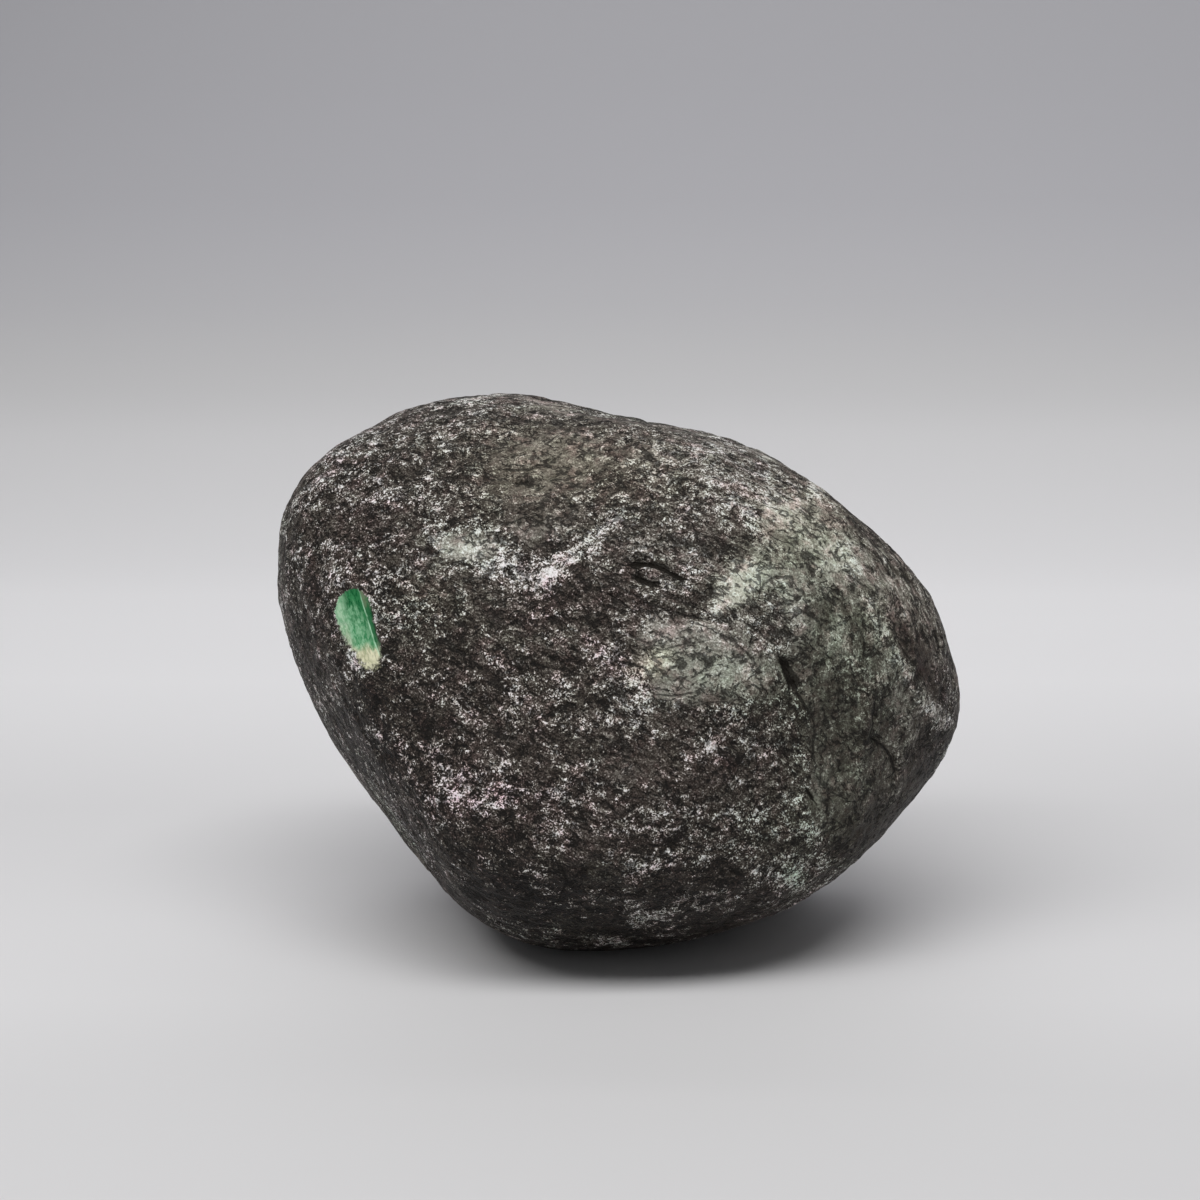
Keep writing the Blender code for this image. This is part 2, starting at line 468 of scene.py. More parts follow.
    ("tone_and_shade", 530, 465, 70, 46, 0, 0.45),
    ("tone_and_shade", 545, 528, 34, 16, 8, 0.3),
    ("tone_and_shade", 630, 450, 80, 28, -6, 0.5),
    ("tone_and_shade", 700, 480, 60, 40, -20, 0.4),
    ("tone_and_shade", 750, 480, 40, 50, -30, 0.6),
    ("tone_and_shade", 805, 525, 46, 34, -40, 0.75),
    ("tone_and_shade", 726, 564, 70, 26, -10, 0.35),
    ("tone_and_shade", 848, 546, 26, 26, 0, 0.35),
    ("tone_and_shade", 738, 584, 36, 22, 34, 0.9),
    ("tone_and_shade", 700, 560, 60, 26, -20, 0.4),
    ("tone_and_shade", 775, 585, 24, 24, 0, 0.8),
    ("tone_and_shade", 782, 655, 26, 20, 0, -0.2),
    ("tone_and_shade", 740, 618, 30, 16, 20, 0.4),
    ("tone_and_shade", 650, 664, 18, 9, 24, 0.8),
    ("tone_and_shade", 670, 640, 34, 26, 0, 0.7),
    ("tone_and_shade", 722, 674, 60, 24, 0, 0.9),
    ("tone_and_shade", 760, 620, 34, 24, 0, 0.3),
    ("tone_and_shade", 842, 640, 12, 22, 0, 0.9),
    ("tone_and_shade", 895, 590, 25, 40, 30, 0.6),
    # darker patches; along the lower edges, where the stone turns under towards the floor, they are painted shade
    ("tone_and_shade", 300, 580, 26, 70, 0, -0.2),
    ("tone_and_shade", 375, 690, 40, 50, -10, -0.3),
    ("tone_and_shade", 570, 605, 50, 25, 0, -0.3),
    ("tone_and_shade", 470, 660, 90, 40, 0, -0.15),
    ("tone_and_shade", 868, 715, 50, 50, 0, -0.3),
    ("tone_and_shade", 940, 770, 30, 50, 0, -1.1),
    ("tone_and_shade", 300, 660, 20, 40, 0, -0.5),
    ("tone_and_shade", 380, 765, 30, 40, -30, -0.6),
    ("tone_and_shade", 880, 830, 60, 40, 30, -0.8),
    ("tone_and_shade", 490, 885, 70, 44, -36, -1.3),
    ("tone_and_shade", 540, 895, 40, 26, 0, -0.8),
    ("tone_and_shade", 430, 758, 66, 30, 0, -0.8),
    ("tone_and_shade", 420, 700, 60, 34, 0, -0.3),
    ("tone_and_shade", 570, 780, 60, 34, 0, -0.3),
    ("tone_and_shade", 720, 860, 110, 26, 10, -0.5),
    ("tone_and_shade", 540, 515, 40, 12, 0, -0.3),
    ("tone_and_shade", 520, 640, 60, 20, 0, 0.25),
    ("tone_and_shade", 590, 930, 120, 26, 0, -1.4),
    ("tone_and_shade", 620, 892, 150, 22, 0, -0.9),
    ("tone_and_shade", 700, 925, 70, 18, 8, -0.6),
    ("tone_and_shade", 740, 905, 70, 22, 14, -0.6),
    ("tone_and_shade", 345, 730, 26, 70, -25, -1.0),
    ("tone_and_shade", 400, 840, 26, 60, -40, -0.8),
    # tints
    ("pink", 600, 655, 30, 18, -30, 0.8),
    ("pink", 640, 675, 30, 14, -20, 0.7),
    ("pink", 500, 800, 60, 24, 8, 0.9),
    ("pink", 440, 785, 40, 30, 0, 0.8),
    ("pink", 560, 600, 60, 36, 10, 0.55),
    ("pink", 360, 520, 40, 50, 0, 0.5),
    ("pink", 500, 640, 60, 40, 0, 0.45),
    ("pink", 470, 720, 80, 50, 0, 0.4),
    ("pink", 700, 770, 60, 24, 0, 0.5),
    ("pink", 590, 830, 80, 40, 0, 0.4),
    ("pink", 320, 620, 24, 60, 0, 0.4),
    ("olive", 530, 465, 80, 50, 0, 1.0),
    ("olive", 640, 470, 70, 40, -10, 0.6),
    ("olive", 800, 520, 60, 50, -30, 0.7),
    ("olive", 900, 600, 40, 70, 30, 0.3),
    ("olive", 425, 600, 40, 30, 0, 0.4),
    ("green", 836, 638, 22, 24, 0, 1.2),
    ("green", 845, 740, 60, 120, 0, 1.1),
    ("green", 800, 560, 60, 50, 0, 0.8),
    ("green", 860, 650, 60, 60, 0, 0.7),
    ("green", 760, 690, 50, 30, 0, 0.6),
    ("green", 440, 620, 80, 40, 0, 0.4),
    ("green", 540, 640, 60, 30, 0, 0.3),
    ("green", 700, 670, 70, 36, 0, 0.8),
    ("green", 738, 588, 40, 24, 30, 0.5),
    ("olive", 740, 584, 40, 24, 30, 0.5),
    ("olive", 652, 664, 24, 14, 30, 1.3),
    ("olive", 860, 620, 50, 40, 0, 0.15),
    ("green", 462, 543, 40, 20, 0, 0.6),
    ("green", 797, 880, 16, 12, 0, 1.0),
    ("green", 600, 878, 24, 16, 0, 0.7),
    ("green", 780, 830, 70, 40, 0, 0.5),
    ("green", 560, 930, 60, 16, 0, 0.5),
    # painted shade: near black in the hollows and pits
    ("hole_shade", 790, 670, 17, 5, -62, 1.0),
    ("hole_shade", 795, 681, 9, 7, -50, 0.9),
    ("hole_shade", 799, 597, 4, 4, 0, 0.9),
    ("hole_shade", 645, 578, 14, 4, -24, 1.2),
    ("hole_shade", 641, 563, 13, 4, 4, 1.1),
    ("hole_shade", 658, 563, 11, 4, -14, 1.2),
    ("hole_shade", 676, 573, 13, 3, -28, 0.9),
    ("hole_shade", 812, 795, 9, 3, -48, 0.9),
    # single pale blobs
    ("pale", 453, 795, 7, 8, 0, 1.0),
    ("pale", 433, 801, 5, 5, 0, 0.6),
    ("pale", 713, 746, 8, 6, 0, 0.9),
    ("pale", 745, 783, 4, 4, 0, 1.0),
    ("pale", 731, 811, 6, 4, 10, 0.8),
    ("pale", 760, 814, 6, 4, 0, 0.7),
    ("pale", 808, 787, 5, 4, 0, 0.9),
    ("pale", 812, 831, 6, 5, 0, 0.7),
    ("pale", 794, 882, 9, 6, 30, 1.0),
    ("pale", 632, 862, 5, 5, 0, 0.6),
    ("pale", 640, 921, 9, 4, -10, 0.8),
    ("pale", 617, 941, 8, 3, 0, 0.7),
    ("pale", 526, 651, 4, 4, 0, 0.9),
    ("pale", 598, 653, 7, 6, 0, 0.6),
    ("pale", 634, 680, 9, 5, -20, 0.6),
    ("pale", 473, 398, 16, 5, 12, 1.0),
    ("pale", 432, 404, 8, 4, 15, 0.6),
    ("pale", 387, 414, 6, 5, 30, 0.7),
    ("pale", 765, 455, 7, 5, -20, 0.7),
    ("pale", 818, 492, 10, 5, -45, 0.9),
    ("pale", 548, 572, 9, 6, 10, 0.9),
    ("pale", 572, 556, 9, 5, 40, 0.8),
    ("pale", 944, 716, 5, 5, 0, 0.9),
    ("pale", 958, 694, 3, 6, 0, 0.9),
    ("pale", 341, 636, 3, 3, 0, 0.9),
    ("pale", 349, 655, 4, 7, -15, 1.0),
    ("pale", 354, 667, 6, 5, 0, 0.9),
    ("pale", 376, 622, 3, 12, 15, 0.7),
    ("pale", 306, 487, 4, 6, 0, 0.7),
    ("pale", 291, 552, 4, 7, 0, 0.7),
    ("pale", 281, 607, 4, 9, 0, 0.7),
]

# Crevices: points, half width in pixels, depth in mm
CREVICES = [
    ([(503, 466), (515, 464), (528, 465), (541, 460)], 2.8, 0.6),
    ([(512, 479), (522, 477), (533, 480)], 2.8, 0.8),
    ([(625, 564), (634, 563), (646, 560), (657, 562), (668, 569), (681, 575), (692, 579)], 3.2, 1.7),
    ([(628, 570), (640, 573), (650, 577), (660, 584)], 2.8, 1.7),
    ([(625, 553), (638, 546), (651, 546), (663, 540)], 2.2, 0.4),
    ([(672, 578), (684, 585), (696, 590), (708, 600)], 2.2, 0.5),
    ([(660, 575), (676, 581), (690, 590)], 2.2, 0.4),
    ([(664, 606), (671, 612), (675, 620)], 2.4, 0.7),
    ([(600, 590), (618, 599), (634, 612)], 1.8, 0.6),
    ([(590, 560), (603, 567), (612, 571)], 1.8, 0.5),
    ([(668, 592), (684, 600), (697, 608)], 1.8, 0.5),
    ([(690, 600), (706, 609), (716, 616)], 1.8, 0.6),
    ([(640, 602), (652, 609), (664, 620)], 1.8, 0.6),
    ([(700, 572), (712, 580), (722, 592)], 1.8, 0.5),
    ([(655, 540), (672, 533), (690, 529)], 1.8, 0.5),
    ([(562, 592), (580, 603), (592, 616)], 1.8, 0.4),
    ([(598, 576), (608, 580), (620, 584)], 2.0, 0.4),
    ([(600, 578), (616, 585), (630, 592), (645, 601), (660, 606), (682, 613), (702, 617), (723, 621)], 2.6, 0.6),
    ([(600, 607), (612, 604), (622, 608)], 2.2, 0.3),
    ([(646, 590), (670, 596), (690, 604)], 2.2, 0.3),
    ([(759, 597), (766, 582), (779, 573), (793, 576), (799, 587)], 2.6, 0.6),
    ([(770, 594), (779, 585), (790, 588)], 2.2, 0.4),
    ([(782, 658), (788, 668), (795, 682), (800, 690)], 5.0, 1.5),
    ([(797, 690), (805, 703), (812, 720)], 2.8, 0.6),
    ([(813, 700), (815, 724), (814, 750), (815, 775)], 2.4, 0.35),
    ([(806, 786), (812, 795), (817, 804)], 2.8, 0.8),
    ([(874, 698), (875, 714), (872, 736), (882, 742), (891, 752), (897, 763), (898, 774), (890, 781)], 2.6, 0.8),
    ([(884, 700), (893, 716), (905, 728)], 2.2, 0.3),
    ([(655, 694), (677, 696), (694, 692)], 2.2, 0.4),
    ([(642, 649), (662, 650), (684, 644), (708, 641)], 2.2, 0.4),
    ([(700, 706), (722, 702), (748, 706)], 2.2, 0.3),
    ([(620, 632), (640, 640), (656, 648)], 2.2, 0.35),
    ([(404, 560), (425, 553), (440, 556)], 2.2, 0.3),
    ([(470, 600), (492, 590), (508, 592)], 2.2, 0.3),
    ([(560, 508), (590, 500), (620, 488)], 2.2, 0.25),
    ([(600, 520), (628, 512), (652, 500)], 2.2, 0.25),
    ([(730, 640), (748, 652), (760, 668)], 2.2, 0.35),
    ([(742, 620), (762, 632), (778, 648)], 2.4, 0.4),
    ([(560, 742), (590, 736), (616, 741)], 2.2, 0.3),
    ([(664, 742), (690, 738), (712, 730)], 2.2, 0.3),
    ([(858, 622), (866, 640), (868, 664)], 2.2, 0.35),
    ([(900, 640), (912, 662), (926, 678)], 2.2, 0.4),
    ([(846, 560), (858, 578), (872, 590)], 2.4, 0.4),
    ([(448, 690), (462, 700), (470, 716)], 2.2, 0.3),
    ([(560, 862), (566, 884), (560, 900)], 2.4, 0.4),
    ([(640, 850), (668, 846), (700, 852)], 2.2, 0.3),
]

# Scoops (+) and low swells (-): x, y, radius along, radius across, angle, depth in mm
SCOOPS = [
    (528, 470, 60, 38, 0, 0.7),
    (612, 470, 44, 26, -10, 0.4),
    (646, 576, 30, 14, -18, 0.6),
    (700, 600, 60, 14, -20, 0.35),
    (782, 588, 18, 18, 0, 0.4),
    (792, 680, 22, 28, -20, 0.5),
    (838, 735, 20, 80, 0, 0.5),
    (884, 762, 18, 50, -8, 0.8),
    (866, 722, 10, 36, 0, -0.5),
    (806, 760, 10, 60, 0, -0.35),
    (700, 668, 54, 24, -4, 0.3),
    (462, 545, 34, 18, -8, 0.25),
    (560, 640, 50, 30, 0, 0.3),
    (470, 650, 40, 60, 10, -0.3),
    (420, 740, 40, 40, 0, 0.35),
    (640, 790, 70, 30, 0, -0.4),
    (560, 880, 40, 26, 0, 0.4),
    (720, 860, 60, 22, 8, 0.3),
    (345, 520, 30, 50, 0, 0.4),
    (900, 600, 30, 70, 32, 0.5),
    (730, 500, 50, 26, -20, -0.3),
]

RIM_EDGE = [(818, 484), (842, 530), (865, 580), (895, 650), (922, 696), (944, 724)]


def spread(u, v, x, y, along, across, angle):
    """Squared distance from (x, y), with an ellipse's radii as its units."""
    a = math.radians(angle)
    dx, dy = u - x, -(v - y)
    s = (dx * math.cos(a) + dy * math.sin(a)) / along
    t = (-dx * math.sin(a) + dy * math.cos(a)) / across
    return s * s + t * t


def from_line(u, v, points):
    """Distance in pixels to a run of straight pieces."""
    best = np.full(len(u), 1e9)
    for (x0, y0), (x1, y1) in zip(points, points[1:]):
        ex, ey = x1 - x0, y1 - y0
        t = np.clip(((u - x0) * ex + (v - y0) * ey) / (ex * ex + ey * ey), 0, 1)
        best = np.minimum(best, np.hypot(u - x0 - t * ex, v - y0 - t * ey))
    return best


# ------------------------------------------------------------------ the ground window
WINDOW_TOP, WINDOW_END = (349.5, 590.0), (370.0, 670.0)  # ends of its middle line
WINDOW_HALF = 18.0  # half its greatest width, pixels
WINDOW_EDGE = [
    (337, 597), (342, 592), (348, 589), (354, 588), (359, 590), (364, 595), (368, 602), (370, 610),
    (372, 619), (374, 628), (377, 638), (379, 647), (380, 656), (379, 663), (376, 668), (371, 671),
    (365, 671), (359, 668), (354, 661), (350, 653), (345, 645), (340, 636), (336, 627), (333, 617),
    (333, 606),
]  # fmt: skip


def from_outline(points, outline):
    """Signed distance to a closed outline in the plane, less than nought inside it."""
    best, crossings = np.full(len(points), 1e9), np.zeros(len(points), int)
    for (x0, y0), (x1, y1) in zip(outline, outline[1:] + outline[:1]):
        ex, ey = x1 - x0, y1 - y0
        px, py = points[:, 0] - x0, points[:, 1] - y0
        t = np.clip((px * ex + py * ey) / (ex * ex + ey * ey), 0, 1)
        best = np.minimum(best, np.hypot(px - t * ex, py - t * ey))
        spans = (y0 > points[:, 1]) != (y1 > points[:, 1])
        left = points[:, 0] < x0 + (points[:, 1] - y0) * ex / (ey if ey else 1e-9)
        crossings += spans & left
    return np.where(crossings % 2 == 1, -best, best)


# ------------------------------------------------------------------ build the stone's mesh
dirs, quads, uvs = sphere_grid()
base = dirs * macro_radius(dirs)[:, None]
normals = vertex_normals(base, quads)
eye = -DISTANCE * AWAY
view = base - eye
view /= np.linalg.norm(view, axis=1, keepdims=True)
facing = -(normals * view).sum(1)
front = smoothstep(facing, -0.02, 0.12)
u, v = to_frame(base)
# Natural edges: the places wander a little.
wu = 7.0 * fbm(base, 4.5, 3, 11) + 2.0 * fbm(base, 1.6, 2, 12)
wv = 7.0 * fbm(base, 4.5, 3, 13) + 2.0 * fbm(base, 1.6, 2, 14)
shares = np.bincount(quads.ravel(), minlength=len(base))


def eased(values, times):
    """The values averaged with their neighbours', this many times."""
    for _ in range(times):
        face = values[quads].mean(1)
        values = np.bincount(quads.ravel(), weights=np.repeat(face, 4), minlength=len(base)) / shares
    return values


KINDS = ("dust", "bare", "smooth", "grit", "tone_and_shade", "pink", "olive", "green", "pale", "hole_shade")
kinds = {k: np.zeros(len(base)) for k in KINDS}
for kind, x, y, along, across, angle, strength in PATCHES:
    wander = 0.35 if kind in ("pale", "hole_shade") else 1.0
    d2 = spread(u + wander * wu, v + wander * wv, x, y, along, across, angle)
    kinds[kind] += front * strength * np.exp(-d2 ** (2.0 if kind in ("pale", "hole_shade") else 1.2))

# Round the sides and the back the same kinds of patch fall where the noise puts them.
away = 1.0 - smoothstep(facing, -0.05, 0.35)
kinds["dust"] += away * 1.0 * smoothstep(fbm(base, 11.0, 3, 31), 0.02, 0.5)
kinds["bare"] += away * 0.9 * smoothstep(fbm(base, 13.0, 3, 32), 0.0, 0.45)
kinds["smooth"] += away * 1.1 * smoothstep(fbm(base, 20.0, 3, 33), 0.0, 0.30)
kinds["tone_and_shade"] += away * 0.9 * fbm(base, 17.0, 3, 39)
kinds["grit"] += away * 0.6 * smoothstep(fbm(base, 24.0, 2, 40), -0.1, 0.3)
kinds["pink"] += away * 0.7 * smoothstep(fbm(base, 18.0, 2, 34), 0.0, 0.5)
kinds["olive"] += away * 0.8 * smoothstep(fbm(base, 22.0, 2, 35), 0.0, 0.5)
kinds["green"] += away * 0.8 * smoothstep(fbm(base, 19.0, 2, 36), 0.05, 0.5)
kinds["pale"] += away * 0.9 * smoothstep(fbm(base, 3.2, 2, 37) + 0.35 * fbm(base, 14.0, 2, 38), 0.55, 0.72)

# Relief, in mm along the normal.
smooth = np.clip(kinds["smooth"], 0, 1)
relief = 0.42 * fbm(base, 11.0, 2, 1) - 0.10


def terraced(noise_values, steps):
    k = noise_values * steps
    whole = np.floor(k)
    return (whole + smoothstep(k - whole, 0.45, 0.85)) / steps


# The grain of the rock breaks into ledges. They run down to the right across the front, upright on
# the right cheek, and along the outline on the rim beyond it.
upright = front * smoothstep(u, 770, 830) * (1 - smoothstep(u - (820 + 0.55 * (v - 485)), -10, 25))
edgewise = front * smoothstep(u - (820 + 0.55 * (v - 485)), -10, 25)
level = 1 - np.maximum(upright, edgewise)
ledges = (
    level * fbm(stretched(base, -24.0, 2.6), 4.2, 4, 3, 0.6)
    + upright * fbm(stretched(base, -84.0, 2.8), 4.2, 4, 5, 0.6)
    + edgewise * fbm(stretched(base, -60.0, 3.2), 3.6, 4, 7, 0.6)
)
rough_here = 1 - 0.45 * smooth
inner = 0.55 + 0.45 * smoothstep(facing, 0.10, 0.35)  # the outline and the back are smoother
rough_here *= inner
relief += rough_here * (0.24 * ledges + 0.34 * terraced(ledges, 4.0))
relief -= 0.36 * rough_here * (1 - smoothstep(np.abs(fbm(base, 8.0, 2, 2)), 0.0, 0.30))
relief -= 0.20 * rough_here * (1 - smoothstep(np.abs(fbm(stretched(base, -30.0, 1.8), 3.4, 2, 6)), 0.0, 0.28))
relief += 0.08 * rough_here * fbm(base, 1.9, 3, 4, 0.7)
for x, y, along, across, angle, depth in SCOOPS:
    d2 = spread(u + 0.8 * wu, v + 0.8 * wv, x, y, along, across, angle)
    relief -= front * depth * np.exp(-(d2**1.5))

# Crevices: a groove in the mesh, and a slit in its floor that the material draws near black as painted
# shade. The slit's place is a distance with a sign, so it stays sharp between vertices.
slit, slit_on, nearest = np.full(len(base), 9.0), np.zeros(len(base)), np.full(len(base), 1e9)
for points, half, depth in CREVICES:
    uu, vv = u + 0.35 * wu, v + 0.35 * wv
    length = sum(math.dist(p0, p1) for p0, p1 in zip(points, points[1:]))
    done, d, side, along = 0.0, np.full(len(base), 1e9), np.zeros(len(base)), np.zeros(len(base))
    for (x0, y0), (x1, y1) in zip(points, points[1:]):
        ex, ey = x1 - x0, y1 - y0
        t = np.clip(((uu - x0) * ex + (vv - y0) * ey) / (ex * ex + ey * ey), 0, 1)
        here = np.hypot(uu - x0 - t * ex, vv - y0 - t * ey)
        closer = here < d
        d = np.where(closer, here, d)
        side = np.where(closer, np.sign((uu - x0) * ey - (vv - y0) * ex), side)
        along = np.where(closer, (done + t * math.hypot(ex, ey)) / length, along)
        done += math.hypot(ex, ey)
    taper = 0.35 + 0.65 * smoothstep(np.minimum(along, 1 - along), 0.0, 0.22)
    uneven = taper * (0.75 + 0.9 * fbm(base, 1.8, 2, 16))
    cut = uneven * (1.0 - smoothstep(d, 0.0, 2.0 * half))
    relief -= front * 0.8 * depth * cut
    relief += front * uneven * 0.2 * depth * np.exp(-(((d - 2.6 * half) / (1.2 * half)) ** 2))
    closer = d < nearest
    nearest = np.where(closer, d, nearest)
    slit = np.where(closer, side * d / (0.55 * half * taper), slit)
    reach = front * (1 - smoothstep(d, 1.6 * half, 2.6 * half)) * min(1.0, 0.45 + 0.6 * depth)
    slit_on = np.where(closer, reach, slit_on)
rim = from_line(u + 0.8 * wu, v + 0.8 * wv, RIM_EDGE)
relief += front * 0.45 * np.exp(-((rim / 11.0) ** 2))
kinds["dust"] += front * 0.5 * np.exp(-((rim / 8.0) ** 2))
kinds["pale"] += front * 0.9 * np.exp(-((rim / 3.5) ** 2)) * smoothstep(fbm(base, 2.6, 2, 15), -0.15, 0.25)

# Crevices of the sides and the back: short runs where a fold of the noise is deep, their slits drawn
# near black as painted shade too.
fold = fbm(stretched(base, 35.0, 2.0), 12.0, 2, 51)
deep = away * smoothstep(fbm(base, 16.0, 2, 52), 0.10, 0.35)
relief -= 0.8 * deep * (1.0 - smoothstep(np.abs(fold), 0.0, 0.06))
slit = np.where(away > 0.5, fold / 0.016, slit)
slit_on = np.where(away > 0.5, 0.85 * deep, slit_on)

# The window: a flat ground across the rind, with a narrower facet that dips along its right side.
win_mid = seen_at(*WINDOW_MID)
win_n = normals[np.argsort(np.linalg.norm(base - win_mid, axis=1))[:150]].mean(0)
win_n /= np.linalg.norm(win_n)


def on_window(x, y):
    """Where the line of sight through a place in the frame meets the window's plane."""
    ray = ray_to(x, y)
    return eye + ray * (((win_mid - eye) @ win_n) / (ray @ win_n))


win_v = on_window(*WINDOW_TOP) - on_window(*WINDOW_END)
half_l = np.linalg.norm(win_v) / 2
win_v /= 2 * half_l
win_u = np.cross(win_v, win_n)
half_w = WINDOW_HALF / (WINDOW_END[1] - WINDOW_TOP[1]) * 2 * half_l / max(0.4, abs(win_u @ RIGHT)) * 1.04
rel = base - win_mid
a, b, c = rel @ win_u, rel @ win_v, rel @ win_n
outline = [((q - win_mid) @ win_u, (q - win_mid) @ win_v) for q in (on_window(*e) for e in WINDOW_EDGE)]
window = from_outline(np.stack([a, b], 1), outline)
window = np.where(np.abs(c) < 8.0, window, 9.0)
inside = 1.0 - smoothstep(window, -0.35, 0.45)
level_at = np.percentile((c + relief)[window < 0], 22) - 0.10
ridge_at = 0.5 * half_w
floor_at = level_at - 0.010 * (b**2) * 0.4 - 0.30 * np.maximum(a - ridge_at, 0.0)
relief = relief * (1 - inside) + inside * np.minimum(relief, floor_at - c)

# The resting flat stays flat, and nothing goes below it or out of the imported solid's box.
height = base[:, 2] - OFFSET[2]
relief *= smoothstep(height, 0.4, 5.0)
# painted light and shade: the relief less its eased copy makes bumps paler and hollows darker in the material
cavity = relief - eased(relief, 10)
relief_shade = np.clip(cavity / 0.12, -1.5, 1.5) * (1 - inside)
p = base + normals * relief[:, None] - OFFSET
low, high = (np.array(c) / MM for c in cad_box)
p = np.clip(p, low, high)

mesh = bpy.data.meshes.new("boulder_stone")
mesh.vertices.add(len(p))
mesh.vertices.foreach_set("co", (p * MM).astype(np.float32).ravel())
mesh.loops.add(quads.size)
mesh.loops.foreach_set("vertex_index", quads.astype(np.int32).ravel())
mesh.polygons.add(len(quads))
mesh.polygons.foreach_set("loop_start", np.arange(0, quads.size, 4, dtype=np.int32))
mesh.update(calc_edges=True)
mesh.validate()
mesh.shade_smooth()
layer = mesh.uv_layers.new(name="OFBake")
layer.uv.foreach_set("vector", uvs.astype(np.float32).ravel())
marks = {**kinds, "slit": slit, "slit_on": slit_on, "relief_shade": relief_shade, "window": window}
marks |= {"upright": upright, "edgewise": edgewise}
for name, values in marks.items():
    attribute = mesh.attributes.new(name, "FLOAT", "POINT")
    attribute.data.foreach_set("value", values.astype(np.float32))
stone = bpy.data.objects.new("boulder_stone", mesh)
bpy.context.scene.collection.objects.link(stone)


# ------------------------------------------------------------------ node helpers
def srgb(r, g, b, gain=1.0):
    def lin(x):
        x /= 255.0
        return x / 12.92 if x <= 0.04045 else ((x + 0.055) / 1.055) ** 2.4

    return (min(1.0, lin(r) * gain), min(1.0, lin(g) * gain), min(1.0, lin(b) * gain), 1.0)


class Nodes:
    """Lays out shader nodes; a value may be a socket or a number."""

    def __init__(self, tree):
        self.tree = tree

    def put(self, socket, value):
        if isinstance(value, bpy.types.NodeSocket):
            self.tree.links.new(value, socket)
        elif value is not None:
            socket.default_value = value

    def math(self, op, a, b=None, c=None, clamp=False):
        n = self.tree.nodes.new("ShaderNodeMath")
        n.operation, n.use_clamp = op, clamp
        for socket, value in zip(n.inputs, (a, b, c)):
            self.put(socket, value)
        return n.outputs[0]

    def vec(self, op, a, b=None, scale=None):
        n = self.tree.nodes.new("ShaderNodeVectorMath")
        n.operation = op
        self.put(n.inputs[0], a)
        if b is not None:
            self.put(n.inputs[1], b)
        if scale is not None:
            self.put(n.inputs["Scale"], scale)
        return n.outputs["Value" if op in ("DOT_PRODUCT", "LENGTH") else "Vector"]

    def step(self, x, low, high, out_low=0.0, out_high=1.0):
        n = self.tree.nodes.new("ShaderNodeMapRange")
        n.interpolation_type = "SMOOTHSTEP"
        for name, value in (
            ("Value", x), ("From Min", low), ("From Max", high), ("To Min", out_low), ("To Max", out_high)
        ):  # fmt: skip
            self.put(n.inputs[name], value)
        return n.outputs["Result"]

    def mix(self, factor, a, b, blend="MIX"):
        n = self.tree.nodes.new("ShaderNodeMix")
        n.data_type, n.blend_type, n.clamp_factor = "RGBA", blend, True
        self.put(n.inputs[0], factor)
        self.put(n.inputs[6], a)
        self.put(n.inputs[7], b)
        return n.outputs[2]

    def noise(self, where, wavelength, detail=3.0, rough=0.55, distort=0.0, output="Fac"):
        n = self.tree.nodes.new("ShaderNodeTexNoise")
        self.put(n.inputs["Vector"], where)
        n.inputs["Scale"].default_value = 1.0 / wavelength
        n.inputs["Detail"].default_value = detail
        n.inputs["Roughness"].default_value = rough
        n.inputs["Distortion"].default_value = distort
        return n.outputs[output]

    def cells(self, where, size, output="Color", feature="F1"):
        n = self.tree.nodes.new("ShaderNodeTexVoronoi")
        n.feature = feature
        self.put(n.inputs["Vector"], where)
        n.inputs["Scale"].default_value = 1.0 / size
        return n.outputs[output]

    def channel(self, colour, index):
        n = self.tree.nodes.new("ShaderNodeSeparateColor")
        self.put(n.inputs[0], colour)
        return n.outputs[index]

    def attribute(self, name):
        n = self.tree.nodes.new("ShaderNodeAttribute")
        n.attribute_type, n.attribute_name = "GEOMETRY", name
        return n.outputs["Fac"]

    def moved(self, where, offset):
        return self.vec("ADD", where, offset)

    def along(self, where, angle, stretch):
        """Texture coordinates whose patterns run along this angle of the front plane."""
        a = math.radians(angle)
        axis = tuple(math.cos(a) * RIGHT + math.sin(a) * UP)
        on = self.vec("DOT_PRODUCT", where, axis)
        back = self.vec("SCALE", axis, scale=self.math("MULTIPLY", on, -(1.0 - 1.0 / stretch)))
        return self.vec("ADD", where, back)


def material(name):
    mat = bpy.data.materials.new(name)
    mat.use_nodes = True
    return mat, Nodes(mat.node_tree), mat.node_tree.nodes["Principled BSDF"]


# ------------------------------------------------------------------ the stone's material
def skin(r, g, b):
    """A colour as it looks under the light, less the sheen, brought to the surface's own."""
    return tuple(min(0.92, max(0.0035, 1.5 * (x - 0.0075))) for x in srgb(r, g, b)[:3]) + (1.0,)


